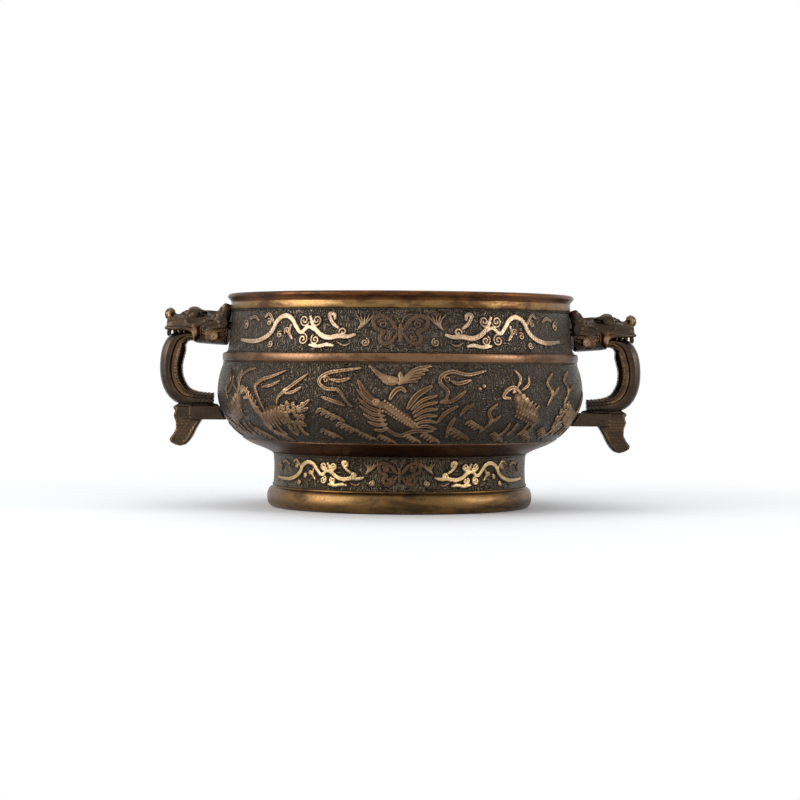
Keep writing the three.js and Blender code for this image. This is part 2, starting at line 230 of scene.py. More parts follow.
def leaf(field, root, tip, width):
    root, tip = np.array(root, float), np.array(tip, float)
    bend = np.array([root[1] - tip[1], tip[0] - root[0]]) * 0.1
    field.ribbon([root, (root + tip) / 2 + bend, tip], width, 1.0, False, 0.75)


def phoenix(field):
    leaf(field, (-9, 19), (-20.5, 31), 1.5)
    leaf(field, (3.5, 17.5), (15.5, 28.5), 1.5)
    for k in range(6):
        leaf(field, (-8.5 + 0.5 * k, 18 - 2.0 * k), (-20.8 + 0.3 * k * k, 26.5 - 3.9 * k), 0.8)
        leaf(field, (5.5 + 0.7 * k, 17 - 1.7 * k), (18.0 + 0.2 * k, 24 - 3.3 * k), 0.8)
    field.stroke([(-8.5, 20), (-2, 15.5), (8.2, 8.6)], 3.0, 0.85, False, 0.5)
    for k in range(13):  # beads along both edges of the breast, and scales between
        t = k / 12
        field.stamp(-7.2 + 16 * t, 21.4 - 12 * t, 0.62, 1.4)
        field.stamp(-9.6 + 16 * t, 17.6 - 11 * t + 2 * t * t, 0.55, 1.3)
        field.stamp(-7.4 + 14 * t, 18.2 - 9.5 * t, 0.6, 1.15)
    field.spiral((-11.6, 20.4), 1.9, 1.4, 0.4, 0.5, 1.3, False)
    field.ribbon([(-5, 22), (-2.5, 26), (0.5, 27.4), (2.8, 25.6)], 1.1, 1.1, False)
    field.ribbon([(-10, 15.5), (-7.5, 8.5), (-0.5, 4.4), (7, 6.4), (17.7, 6.6)], 0.9, 1.0, False)


def bird(field):
    for side in (-1, 1):
        for k in range(5):
            leaf(field, (1.2 * side, 32 - 0.5 * k), (side * (15.5 - 1.8 * k), 38.2 - 1.9 * k), 0.85)
    field.stroke([(0, 35), (0.5, 31), (-0.5, 29.4)], 1.5, 1.2, False)


# Two cloud ribbons, each with a forked end, a curl and a lower prong
clouds = (
    [[(-19.7, 37.0), (-27, 36.0), (-34.9, 34.9), (-39.8, 32.6), (-40.6, 29.5), (-36.7, 26.9), (-30.6, 26.3),
      (-26.8, 21.5), (-23.6, 18.3)], [(-24.7, 32.1), (-30, 30.8), (-34.5, 31.4)],
     [(-39.1, 22.9), (-33, 20.9), (-27.4, 18.9)]],
    [[(44.3, 36.1), (34.4, 34.2), (26, 35.6), (20.4, 33.4), (19.8, 29.9), (23.2, 26.4), (22.6, 22.5),
      (19.5, 20.7)],
     [(35.4, 31.5), (29, 29.9), (25, 31.1)], [(32.5, 26.2), (26, 21.6), (19.8, 20.6)]],
)


def flame(field, points, fork):
    field.ribbon(points, 0.85, 1.05, False, 0.8)
    field.ribbon(fork, 0.75, 1.0, False, 0.8)
    field.spiral(points[len(points) // 2], 1.5, 1.2, 0.7, 0.5, 1.1, False)


def lion(field, s, z, way):
    place = lambda *points: [(s + way * p, z + q) for p, q in points]
    field.stroke(place((-3, 0), (-9, 2), (-16, 0), (-22, -4)), 4.2, 0.8, False, 0.45)
    for ring, count in ((6.4, 11), (3.6, 7)):
        for k in range(count):
            angle = 2 * math.pi * k / count
            centre = place((ring * math.cos(angle), ring * math.sin(angle)))[0]
            field.spiral(centre, 1.6, 1.4, angle, 0.48, 1.45, False, way)
    field.spiral(place((2.2, 0.6))[0], 1.0, 1.0, 0, 0.5, 1.6, False)
    field.stroke(place((-1, -2), (2.2, -3.2), (4.6, -1.6)), 0.6, 1.6, False)
    for k in range(6):
        field.ribbon(place((-7 - 2.6 * k, 4.6 - k * 0.7), (-8.5 - 2.6 * k, 0.6), (-7.5 - 2.6 * k, -3.4 - k * 0.6)),
                     0.7, 1.25, False)
    for foot in (-20, -13, -5, 2):
        field.ribbon(place((foot, -4), (foot + 1.4, -7.4), (foot + 3.8, -8.6)), 0.95, 1.2, False)
    for k in range(4):
        field.ribbon(place((-21, -1 + k), (-25 - k, 3 + 1.8 * k), (-23 - 2 * k, 8 + 1.5 * k)),
                     0.7, 1.15, False, 0.9)


def qilin(field, s, z, way):
    place = lambda *points: [(s + way * p, z + q) for p, q in points]
    field.stroke(place((-14, -2), (-7, 2), (0, 4), (4, 10)), 4.0, 0.8, False, 0.4)
    for row in range(3):
        for k in range(8):
            field.stamp(*place((-12 + 2.2 * k, -4 + 2.3 * row + 0.7 * k))[0], 0.8, 1.15)
    for k in range(5):
        leaf(field, place((-9 + 2.6 * k, 1.5 + k))[0], place((-11.5 + 2.6 * k, 6 + k))[0], 0.7)
    field.ribbon(place((2, 12), (6, 15), (10.5, 13.4), (12.6, 10.4), (8.6, 9.6)), 1.0, 1.25, False)
    field.spiral(place((6.4, 12.6))[0], 1.1, 1.0, 0, 0.5, 1.5, False)
    field.ribbon(place((4, 15), (1.4, 19.4), (4.4, 23.6)), 0.8, 1.15, False, 0.9)
    field.ribbon(place((1.4, 13.5), (-3.4, 16.4), (-4.4, 20.6)), 0.7, 1.1, False, 0.9)
    for k in range(3):
        field.spiral(place((0.4 - 2.6 * k, 10.5 - 2 * k))[0], 1.4, 1.4, k, 0.5, 1.3, False)
    for foot in (-13, -8, 0, 5):
        field.ribbon(place((foot, -3), (foot + 1.2, -7.2), (foot + 3.4, -8.4)), 0.95, 1.15, False)


def rock(field, s, z, size):
    for k in range(4):
        field.ribbon([(s - 6 * size + 2.4 * k * size, z + 1.6 * size - 1.1 * k * size),
                      (s - 3 * size + 2.6 * k * size, z + 3.2 * size - 1.2 * k * size),
                      (s + 1.4 * size + 2.4 * k * size, z + 0.9 * size - 1.1 * k * size)], 0.8 * size, 1.0, False)


def bellyScene(field):
    phoenix(field)
    bird(field)
    for main, fork, prong in clouds:
        for points in (main, fork, prong):
            field.ribbon(points, 0.9, 1.1, False, 0.7)
    field.spiral((-37, 31.2), 1.8, 1.2, 0, 0.5, 1.1, False)
    field.spiral((23.3, 32.2), 1.8, 1.2, 2, 0.5, 1.1, False)
    flame(field, [(-61, 35.6), (-70, 32.5), (-76.6, 31), (-81.6, 27.2), (-79, 21.8), (-75.8, 15.9)],
          [(-64, 30.5), (-70, 28.2), (-76.6, 27.2)])
    flame(field, [(-47.2, 34.3), (-53.6, 30), (-60.4, 25.6), (-64.8, 22.3), (-66.2, 19)],
          [(-50.5, 27.7), (-55, 25.2), (-60, 24.1)])
    flame(field, [(-46, 21.3), (-50, 18.6), (-54, 17.5)], [(-47, 17.4), (-50, 16.2), (-53, 15.8)])
    flame(field, [(-84, 36.5), (-90, 35.4), (-95.5, 32.5), (-97, 27), (-98, 20)],
          [(-88, 27), (-91, 24.6), (-96, 23.6)])
    flame(field, [(-112, 36), (-108, 31), (-113, 26), (-110, 21)], [(-104, 30), (-106, 26), (-110, 24)])
    flame(field, [(90, 35), (84, 30), (88, 25), (84, 19)], [(94, 28), (91, 25.4), (88, 24)])
    flame(field, [(108, 36), (101, 31.5), (105, 26), (100, 20)], [(112, 29), (108, 26.6), (104, 25.6)])
    flame(field, [(50, 20), (46, 16), (48.5, 11), (44, 6)], [(53, 14), (50.6, 12), (48, 11.2)])
    lion(field, -58, 12.6, 1)
    qilin(field, 66, 13, -1)
    qilin(field, -100, 12, 1)
    lion(field, 104, 12.6, -1)
    for s, z in ((40, 27.2), (42.4, 28.6)):
        field.stamp(s, z, 1.15, 1.5)
    leaf(field, (18.9, 10.8), (28.4, 18.7), 0.9)
    leaf(field, (30.4, 14.5), (36.5, 19.5), 0.9)
    leaf(field, (25.8, 3.4), (27.9, 13.2), 1.1)
    for s, z, size in ((-37, 13.5, 1.0), (-28, 7.2, 0.9), (-39, 4.2, 0.8), (-18, 3.2, 0.7), (-8, 2.0, 0.7),
                       (6, 2.4, 0.7), (16, 2.6, 0.8), (31, 4.4, 1.0), (39, 8.8, 0.8), (-72, 2.6, 0.8), (-88, 3, 1.0),
                       (56, 2.8, 0.8), (78, 3.0, 0.9), (92, 4.0, 1.0), (122, 8.0, 1.1), (-124, 8.0, 1.1),
                       (-136, 4.0, 1.0), (136, 4.0, 1.0)):
        rock(field, s, z, size)


friezes = {
    "bellyFrieze": {"steps": 1600, "rows": 100, "lift": 0.62, "ground": 0.55, "margin": 0.5},
    "neckFrieze": {"steps": 1600, "rows": 72, "lift": 0.62, "ground": 0.5, "margin": 0.4},
}


def withPaintedShade(value):
    spread = sum(np.roll(value, k, 0) for k in range(-3, 4)) / 7
    spread = sum(np.roll(spread, k, 1) for k in range(-2, 3)) / 5
    return np.where(value < 0.12, -np.clip(2.4 * spread, 0, 1), value)  # below nought beside the relief: painted shade at the foot of the raised ornament


def friezeRing(name, profile, low, high, draw):
    values = friezes[name]
    steps, rows = values["steps"], values["rows"]
    z = np.linspace(low + values["margin"], high - values["margin"], rows)
    r = radiusAt(profile, z)
    field = Relief(steps // 2, float(r.max()), z)
    draw(field)
    edge = np.minimum(z - z[0], z[-1] - z)
    both = np.roll(np.vstack([field.value, field.value]), -(steps // 4), 0)
    raised = np.maximum(np.minimum(both, 1.15), np.clip(1.2 - edge / 0.7, 0, 1)[None, :])
    back = np.linspace(z[-1], z[0], 10)
    inner = radiusAt(profile, back) - bowl["recess"] + 0.1
    loop = np.vstack([np.stack([r, z], -1), np.stack([inner, back], -1)])
    lift = np.zeros((steps, len(loop)))
    relief = np.zeros_like(lift)
    lift[:, :rows] = raised * values["lift"] - values["ground"]
    # values below nought in the relief mask are painted shade beside the ornament
    relief[:, :rows] = withPaintedShade(both)
    return ringMesh(name, loop, steps, lift, relief)


def bodyRing():
    b = bowl
    loop, zones = [], []

    def add(points, zone):
        for p in points:
            loop.append(p)
            zones.append(zone)

    z = np.linspace(b["bellyLow"] + 0.4, b["bellyHigh"] - 0.4, 30)
    belly = bellyProfile()
    neck = neckProfile()
    add([(b["footRadius"] + 1, b["footTop"]), (69.2, 29.5), (71.5, 30.5), (77, 32.6), (79.6, 34.0)], 3)
    add([(b["bellyLowRadius"], b["bellyLow"] + 0.1), (b["bellyLowRadius"], z[0])], 2)
    add(np.stack([radiusAt(belly, z) - b["recess"], z], -1), 2)
    add([(b["bellyHighRadius"], z[-1]), (b["bellyHighRadius"] + 0.2, b["bellyHigh"])], 2)
    for t in np.linspace(0, math.pi, 17):  # the rounded fillet between belly and neck
        add([(b["filletRadius"] - 0.9 + 0.9 * math.sin(t) ** 0.7, b["bellyHigh"] + 2.2 - 2.2 * math.cos(t))], 2)
    z = np.linspace(b["filletTop"] + 0.3, b["neckTop"] - 0.3, 12)
    add([(b["neckLowRadius"] + 0.2, z[0])], 2)
    add(np.stack([radiusAt(neck, z) - b["recess"], z], -1), 2)
    add([(b["neckTopRadius"], z[-1]), (b["collarRadius"] - 0.1, b["neckTop"] + 0.1),
         (b["collarRadius"], b["neckTop"] + 0.5), (b["collarRadius"], b["collarTop"] - 0.4)], 1)
    lip = bezier((88.2, 105.3), (88.5, 107.2), (90.6, 107.6), (90.0, 109.0), 12)
    over = bezier((90.0, 109.0), (89.7, 110.0), (88.6, 110.0), (87.8, 110.0), 8)
    inner = bezier((87.8, 110.0), (86.2, 110.0), (85.4, 109.4), (85.2, 107.5), 8)
    add(lip, 0)
    add(over[1:], 0)
    add(inner[1:], 0)
    add([(85.0, 104.3), (84.5, 101.8), (87.3, 79.6), (88.8, 75.2)], 4)
    add(bezier((b["bellyRadius"] - 3.4, bellyMiddle), (b["bellyRadius"] - 3.4, bellyMiddle - 12),
               (83, 38.6), (72, b["floorTop"]), 14), 4)
    add([(b["floorRadius"], b["floorTop"]), (b["floorRadius"], 30.6), (49.9, 30.6), (49.9, 28.4),
         (58.3, 28.4), (58.3, 23.9), (62.5, 23.9), (62.5, 28.35)], 4)
    return ringMesh("bowlBody", loop, b["steps"], zones=np.array(zones))


foot = {"steps": 900, "rows": 36, "low": 11.6, "high": 27.9, "radius": 66.2, "lift": 0.6, "ground": 0.35,
        "roll": 69.1, "inside": 62.8}


def footRing():
    f = foot
    z = np.linspace(f["low"], f["high"], f["rows"])
    r = f["radius"] - 0.4 * np.sin((z - f["low"]) / (f["high"] - f["low"]) * math.pi)
    field = Relief(f["steps"] // 2, f["radius"], z)
    butterfly(field, 8.0, 0.78)
    chilong(field, 0.8, 0.74, 0.8)
    edge = np.minimum(z - z[0], z[-1] - z)
    both = np.roll(np.vstack([field.value, field.value]), -(f["steps"] // 4), 0)
    raised = np.maximum(np.minimum(both, 1.15), np.clip(1.2 - edge / 0.6, 0, 1)[None, :])
    t = np.linspace(-0.5 * math.pi, 0.5 * math.pi, 18)
    roll = np.stack([f["roll"] - 3.4 + 3.4 * np.cos(t) ** 0.8, 5.2 + 5.2 * np.sin(t)], -1)
    roll[:, 1] = np.clip(roll[:, 1], 0, None)
    top = [(66.3, 28.15), (66.2, 28.35), (f["inside"], 28.35), (f["inside"], 14.8), (61.1, 5.4), (61.1, 0)]
    loop = np.vstack([roll, [(66.1, 11.0)], np.stack([r, z], -1), top])
    lift = np.zeros((f["steps"], len(loop)))
    relief = np.zeros_like(lift)
    first = len(roll) + 1
    lift[:, first:first + f["rows"]] = raised * f["lift"] - f["ground"]
    # values below nought in the relief mask are painted shade beside the ornament
    relief[:, first:first + f["rows"]] = withPaintedShade(both)
    zones = np.zeros(len(loop), int)
    zones[first - 1:first + f["rows"]] = 1
    zones[-5:] = 2
    return ringMesh("footBody", loop, f["steps"], lift, relief, zones)


def plateMesh():
    low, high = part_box("floor_plate")
    top, bottom = high.z / mm, low.z / mm
    loop = [(49.6, bottom), (49.6, bottom + 2.2), (54.0, bottom + 2.2), (54.0, top - 0.2), (53.8, top),
            (30, top), (0.05, top), (0.05, bottom), (30, bottom)]
    return ringMesh("floorDisc", loop, 96)


# The handles. Points are millimetres out from the neck, to the side and up from the head's height.
handles = {
    "seat": 89.25, "headHigh": 93.5, "rightDrop": 2.2, "voxel": 0.36, "smooth": 4,
}


class Handle:
    def __init__(self, side):
        self.side = side
        self.way = -1 if side == "left" else 1
        self.high = handles["headHigh"] - (0 if side == "left" else handles["rightDrop"])

    def world(self, point):
        x, y, z = point
        return Vector((self.way * (handles["seat"] + x), self.way * y, self.high + z)) * mm

    def local(self, points):
        points = points / mm
        return np.stack([points[:, 0] * self.way - handles["seat"], points[:, 1] * self.way,
                         points[:, 2] - self.high], -1)


def addTube(bm, handle, points, radius, taper=0.5):
    path = smoothPath(points, 0.7)
    sides = 10
    rings = []
    for k, centre in enumerate(path):
        ahead = path[min(k + 1, len(path) - 1)] - path[max(k - 1, 0)]
        ahead = Vector(ahead).normalized()
        across = ahead.orthogonal().normalized()
        other = ahead.cross(across)
        t = k / (len(path) - 1)
        r = radius * (1 - taper * abs(2 * t - 1) ** 3)
        around = [r * (math.cos(a) * across + math.sin(a) * other)
                  for a in np.arange(sides) / sides * 2 * math.pi]
        rings.append([bm.verts.new(handle.world(Vector(centre) + out)) for out in around])
    for low, high in zip(rings[:-1], rings[1:]):
        offset = min(range(sides), key=lambda o: (low[0].co - high[o].co).length)
        for k in range(sides):
            bm.faces.new((low[k], low[(k + 1) % sides],
                          high[(k + 1 + offset) % sides], high[(k + offset) % sides]))
    bm.faces.new(rings[0])
    bm.faces.new(list(reversed(rings[-1])))


def addBall(bm, handle, centre, sizes):
    matrix = Matrix.Translation(handle.world(centre)) @ Matrix.Diagonal((*(Vector(sizes) * mm), 1))
    bmesh.ops.create_uvsphere(bm, u_segments=16, v_segments=10, radius=1, matrix=matrix)


def spiralPoints(centre, radius, turns, start, turn=1, side=0.0):
    t = np.linspace(0, 1, int(8 * turns) + 6)
    angle = start + turn * t * turns * 2 * math.pi
    r = radius * (1 - 0.8 * t)
    return [(centre[0] + a, centre[1] + side * k, centre[2] + b)
            for k, (a, b) in enumerate(zip(r * np.cos(angle), r * np.sin(angle)))]


def remeshed(name, bm):
    bmesh.ops.recalc_face_normals(bm, faces=bm.faces)
    mesh = bpy.data.meshes.new(name)
    bm.to_mesh(mesh)
    bm.free()
    rough = bpy.data.objects.new(name + "Rough", mesh)
    bpy.context.scene.collection.objects.link(rough)
    remesh = rough.modifiers.new("voxels", "REMESH")
    remesh.mode = "VOXEL"
    remesh.voxel_size = handles["voxel"] * mm
    smooth = rough.modifiers.new("soft", "SMOOTH")
    smooth.iterations = handles["smooth"]
    smooth.factor = 0.5
    bpy.context.view_layer.update()
    fine = bpy.data.meshes.new_from_object(rough.evaluated_get(bpy.context.evaluated_depsgraph_get()))
    bpy.data.objects.remove(rough)
    fine.name = name
    piece = bpy.data.objects.new(name, fine)
    bpy.context.scene.collection.objects.link(piece)
    return piece


def displace(piece, handle, shape):
    mesh = piece.data
    count = len(mesh.vertices)
    co = np.zeros(count * 3, np.float32)
    normal = np.zeros(count * 3, np.float32)
    mesh.vertices.foreach_get("co", co)
    mesh.vertices.foreach_get("normal", normal)
    co, normal = co.reshape(-1, 3).astype(float), normal.reshape(-1, 3).astype(float)
    turned = normal * (handle.way, handle.way, 1)
    lift, mask = shape(handle.local(co), turned)
    co += normal * lift[:, None] * mm
    mesh.vertices.foreach_set("co", co.astype(np.float32).reshape(-1))
    worn = mesh.attributes.new("relief", "FLOAT", "POINT")
    worn.data.foreach_set("value", np.clip(mask, 0, 1).astype(np.float32))
    mesh.update()
    mesh.shade_smooth()


def nodeMesh(node):
    bm = bmesh.new()
    bm.from_mesh(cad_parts[node].data)
    bmesh.ops.remove_doubles(bm, verts=bm.verts, dist=1e-6)
    return bm


def near(points, x, z, size):
    return np.exp(-((points[:, 0] - x) ** 2 + (points[:, 2] - z) ** 2) / size ** 2)


def headShape(points, normals):
    x, y, z = points.T
    side = np.clip(np.abs(normals[:, 1]) * 1.6 - 0.4, 0, 1)
    hatch = np.abs(np.sin((x + z) * 1.9)) * np.abs(np.sin((x - z) * 1.9))
    panel = ((x > 0.8) & (x < 13) & (z > -9) & (z < -2.6)) * side
    lift = 0.28 * (hatch - 0.5) * panel
    hair = np.sin(np.hypot(x - 4, z + 16) * 2.6)
    lift += 0.16 * hair * side * (z > -2.2) * (x < 15)
    groove = np.exp(-((x - 14.6) / 0.8) ** 2) * (z < 0)
    lift -= 0.7 * groove * side
    ear = near(points, 3.6, 8.4, 2.4) * (normals[:, 0] > 0.1)
    lift -= 1.0 * ear
    lift += 0.1 * np.sin(x * 3.1) * (z > 4) * (x > 21)
    rubbed = near(points, 17.8, -4, 3.4) + near(points, 32, 6.5, 3.2) + near(points, 7, -5.5, 3)
    return lift, 0.28 + 0.5 * rubbed * (0.4 + side) + 0.2 * hatch * panel


loopLine = smoothPath([(17.5, -5.4), (22.5, -5.4), (26.8, -8), (29, -13), (30.4, -20.5), (29.7, -28),
                       (26.7, -33.9), (22, -37), (15.5, -37.9), (8.3, -38.3)], 0.3)


def loopShape(points, normals):
    line = loopLine
    along = np.concatenate([[0], np.cumsum(np.linalg.norm(np.diff(line, axis=0), axis=1))])
    flat = points[:, [0, 2]]
    nearest = np.array([np.argmin(((line - p) ** 2).sum(1)) for p in flat])
    tangent = np.gradient(line, axis=0)[nearest]
    tangent /= np.linalg.norm(tangent, axis=1)[:, None]
    delta = flat - line[nearest]
    out = delta[:, 1] * tangent[:, 0] - delta[:, 0] * tangent[:, 1]
    u, y = along[nearest], points[:, 1]
    row = np.floor(u / 1.9)
    scale = np.sqrt(np.clip(1 - ((y + (row % 2) * 1.3) % 2.6 / 1.3 - 1) ** 2, 0, 1)) * (1 - (u / 1.9) % 1 * 0.6)
    outer = np.clip((-out - 1.4) / 0.8, 0, 1)
    lower = np.clip((u - 44) / 3, 0, 1)
    hatch = np.abs(np.sin((u + out) * 1.5) * np.sin((u - out) * 1.5))
    lift = 0.36 * (scale - 0.5) * outer * (1 - lower) + 0.3 * (hatch - 0.4) * lower
    side = np.abs(normals[:, 1]) > 0.4
    channel = np.exp(-((-out - 0.6) / 1.1) ** 2) * side
    return lift, 0.22 + 0.65 * channel * (1 - lower) + 0.2 * scale * outer


def pendantShape(points, normals):
    x, y, z = points.T
    side = np.abs(normals[:, 1]) > 0.5
    row = np.floor(z / 1.7)
    scale = np.sqrt(np.clip(1 - ((x + (row % 2) * 1.2) % 2.4 / 1.2 - 1) ** 2, 0, 1)) * (z / 1.7 % 1)
    body = side * (z < -46) * (x > 18)
    lift = 0.34 * (scale - 0.4) * body
    return lift, 0.25 + 0.25 * scale * body + 0.5 * (np.abs(normals[:, 1]) < 0.45) * (z < -44)


def headPiece(handle):
    bm = nodeMesh(handle.side + "_head")
    for s in (-1, 1):
        addBall(bm, handle, (19.3, s * 8.5, 4.7), (1.9, 1.3, 1.9))
        addTube(bm, handle, [(19.3 + 2.5 * math.cos(a), s * 8.9, 4.7 + 2.4 * math.sin(a))
                             for a in np.linspace(0, 2 * math.pi, 14)], 0.5, 0)
        for a in np.linspace(-2.6, -0.5, 6):
            addBall(bm, handle, (19.3 + 3.3 * math.cos(a), s * 9.0, 4.7 + 3.1 * math.sin(a)), (0.5, 0.5, 0.5))
        addTube(bm, handle, [(11, s * 7.6, 6.6), (15, s * 8.8, 7.6), (19.5, s * 8.6, 7.6), (23.5, s * 7.2, 5.6)], 1.1)
        addTube(bm, handle, [(33.2, s * 5.6, -1.4), (27, s * 8.2, -1.6), (21.5, s * 9.4, -1.8),
                             (18.3, s * 10, -3.6), (17.6, s * 10.2, -8)], 1.05, 0.3)
        addTube(bm, handle, spiralPoints((7.2, s * 10.9, -5.5), 2.2, 1.5, 0.4), 0.55, 0)
        addTube(bm, handle, spiralPoints((2.8, s * 10.2, 1.2), 2.5, 1.6, 2.0), 0.6, 0)
        addTube(bm, handle, spiralPoints((10.2, s * 9.6, 2.0), 2.0, 1.4, 1.0, -1), 0.55, 0)
        addTube(bm, handle, spiralPoints((30.6, s * 4.3, 3.2), 1.6, 1.2, 0.4), 0.5, 0)
        for k in range(4):
            addTube(bm, handle, [(14, s * 9.9, -0.6 - 1.8 * k), (9, s * 10.7, -1.4 - 2.0 * k),
                                 (2, s * 10.2, -1.0 - 2.1 * k)], 0.5)
        for x, reach in ((31.6, 3.6), (28.4, 2.2), (25.6, 2.2), (23, 2.0)):
            width = np.interp(x, [23, 32], [7.2, 4.6])
            addTube(bm, handle, [(x, s * width, -2.0), (x + 0.2, s * width, -2.4 - 0.5 * reach),
                                 (x - 0.2, s * width * 0.97, -2.2 - reach)], 0.8, 0.75)
    addTube(bm, handle, [(13, 0, 7.2), (17, 0, 8.4), (22, 0, 7.4), (27, 0, 5.2)], 1.0)
    addTube(bm, handle, [(32.2, 0, 5.2), (27, 0, 3.6)], 2.5, 0.2)
    for k in range(3):
        addTube(bm, handle, [(5, 2.6 * (k - 1), 7.0), (9, 3.0 * (k - 1), 7.2), (13, 2.6 * (k - 1), 7.6)], 0.8)
    piece = remeshed(handle.side + "Head", bm)
    displace(piece, handle, headShape)
    return piece


def loopPiece(handle):
    bm = nodeMesh(handle.side + "_loop")
    piece = remeshed(handle.side + "Loop", bm)
    displace(piece, handle, loopShape)
    return piece


def pendantPiece(handle):
    bm = nodeMesh(handle.side + "_pendant")
    for s in (-1, 1):
        addTube(bm, handle, [(14.2, s * 3.9, -47.5), (17.5, s * 3.9, -52.6), (20.2, s * 3.9, -57.8),
                             (23, s * 3.9, -61), (27, s * 3.9, -61.4), (29.8, s * 3.9, -59.8)], 1.0, 0.2)
        addTube(bm, handle, spiralPoints((22.6, s * 4.1, -50.5), 2.6, 1.5, 0.6), 0.6, 0)
        for k in range(3):
            addTube(bm, handle, [(6, s * 3.6, -43.2 - 1.6 * k), (11, s * 3.9, -43.6 - 1.4 * k),
                                 (16.5, s * 3.8, -45.0 - 1.5 * k)], 0.6, 0.7)
        addTube(bm, handle, [(6, s * 2.2, -42.0), (14, s * 2.3, -41.2), (24, s * 2.3, -41.4), (29, s * 2.1, -43.2)],
                1.6, 0.4)
    piece = remeshed(handle.side + "Pendant", bm)
    displace(piece, handle, pendantShape)
    return piece


# Shader parts
def newGroup(name, inputs, outputs):
    group = bpy.data.node_groups.new(name, "ShaderNodeTree")
    for socket, kind, value in inputs:
        made = group.interface.new_socket(socket, in_out="INPUT", socket_type=kind)
        made.default_value = value
    for socket, kind in outputs:
        group.interface.new_socket(socket, in_out="OUTPUT", socket_type=kind)
    return group, group.nodes.new("NodeGroupInput"), group.nodes.new("NodeGroupOutput")


def noise(tree, where, scale, detail=4.0, rough=0.55, distortion=0.0):
    node = tree.nodes.new("ShaderNodeTexNoise")
    node.inputs["Scale"].default_value = scale
    node.inputs["Detail"].default_value = detail
    node.inputs["Roughness"].default_value = rough
    node.inputs["Distortion"].default_value = distortion
    tree.links.new(where, node.inputs["Vector"])
    return node.outputs["Fac"]


def math2(tree, kind, a, b=0.0, clamp=False):
    node = tree.nodes.new("ShaderNodeMath")
    node.operation = kind
    node.use_clamp = clamp
    for socket, value in zip(node.inputs, (a, b)):
        if isinstance(value, (int, float)):
            socket.default_value = value
        else:
            tree.links.new(value, socket)
    return node.outputs[0]


def ranged(tree, value, low, high, toLow=0.0, toHigh=1.0):
    node = tree.nodes.new("ShaderNodeMapRange")
    for socket, number in zip(("From Min", "From Max", "To Min", "To Max"), (low, high, toLow, toHigh)):
        node.inputs[socket].default_value = number
    tree.links.new(value, node.inputs["Value"])
    return node.outputs["Result"]


def mixed(tree, factor, a, b):
    node = tree.nodes.new("ShaderNodeMix")
    node.data_type = "RGBA"
    for socket, value in ((node.inputs[0], factor), (node.inputs[6], a), (node.inputs[7], b)):
        if isinstance(value, tuple):
            socket.default_value = value
        elif isinstance(value, (int, float)):
            socket.default_value = value
        else:
            tree.links.new(value, socket)
    return node.outputs[2]


def bronzeGroup():
    colour, number = "NodeSocketColor", "NodeSocketFloat"
    # one dark colour serves both the random stain patches and the painted shade beside the relief
    group, given, result = newGroup("agedBronze", [
        ("Ground", colour, (0.05, 0.04, 0.035, 1)), ("Relief", colour, (0.3, 0.18, 0.1, 1)),
        ("Crest", colour, (0.6, 0.42, 0.28, 1)), ("StainAndShade", colour, (0.03, 0.02, 0.015, 1)),
        ("Mask", number, 0.0), ("Worm", number, 1.0), ("Patches", number, 0.3),
    ], [("Color", colour), ("Roughness", number), ("Height", number)])
    where = group.nodes.new("ShaderNodeTexCoord").outputs["Object"]
    broad = noise(group, where, 38, 3)
    fine = noise(group, where, 900, 4, 0.6)
    winding = noise(group, where, 420, 1.0, 0.4)
    apart = group.nodes.new("ShaderNodeSeparateXYZ")
    group.links.new(where, apart.inputs[0])
    around = math2(group, "ARCTAN2", apart.outputs["Y"], apart.outputs["X"])
    wave = math2(group, "MULTIPLY", winding, 9.0)  # strokes round the wall, bent into a labyrinth
    upright = math2(group, "SINE", math2(group, "ADD", math2(group, "MULTIPLY", around, 212.0), wave))
    rows = math2(group, "MULTIPLY", apart.outputs["Z"], 2400.0)
    lying = math2(group, "SINE", math2(group, "ADD", rows, wave))
    turned = ranged(group, noise(group, where, 300, 1.0, 0.4), 0.54, 0.57)
    upright, lying = math2(group, "ABSOLUTE", upright), math2(group, "ABSOLUTE", lying)
    worm = math2(group, "ADD", math2(group, "MULTIPLY", upright, math2(group, "SUBTRACT", 1.0, turned)),
                 math2(group, "MULTIPLY", lying, turned))
    flat = group.nodes.new("ShaderNodeVectorMath")  # stains lie along the rims
    flat.operation = "MULTIPLY"
    flat.inputs[1].default_value = (1, 1, 3.5)
    group.links.new(where, flat.inputs[0])
    streak = noise(group, flat.outputs[0], 46, 5, 0.62, 0.4)
    ground = mixed(group, ranged(group, worm, 0.2, 0.95, 0.0, 0.8), given.outputs["Ground"],
                   mixed(group, 0.11, given.outputs["Ground"], given.outputs["Crest"]))
    shown = math2(group, "MULTIPLY", given.outputs["Worm"], 1.0, True)
    low = mixed(group, shown, given.outputs["Ground"], ground)
    # painted shade: below nought the mask darkens the ground beside the relief towards the dark stain colour
    paintedShade = ranged(group, given.outputs["Mask"], -0.75, -0.05, 0.9, 0.0)
    low = mixed(group, paintedShade, low, given.outputs["StainAndShade"])
    raised = mixed(group, ranged(group, given.outputs["Mask"], 0.15, 0.5), low, given.outputs["Relief"])
    crest = math2(group, "MULTIPLY", ranged(group, given.outputs["Mask"], 0.68, 1.02, 0, 0.9),
                  ranged(group, broad, 0.26, 0.55))
    colourOut = mixed(group, crest, raised, given.outputs["Crest"])
    patches = math2(group, "MULTIPLY", ranged(group, streak, 0.46, 0.6), given.outputs["Patches"])
    stained = mixed(group, patches, colourOut, given.outputs["StainAndShade"])
    stained = mixed(group, ranged(group, fine, 0.45, 0.75, 0, 0.4), stained, given.outputs["StainAndShade"])
    group.links.new(stained, result.inputs["Color"])
    polish = ranged(group, math2(group, "ADD", broad, fine), 0.6, 1.4, 0.28, 0.5)
    group.links.new(polish, result.inputs["Roughness"])
    bare = ranged(group, given.outputs["Mask"], 0.15, 0.5, 1.0, 0.12)
    height = math2(group, "MULTIPLY", math2(group, "MULTIPLY", worm, bare), given.outputs["Worm"])
    group.links.new(math2(group, "ADD", height, math2(group, "MULTIPLY", fine, 0.25)), result.inputs["Height"])
    return group


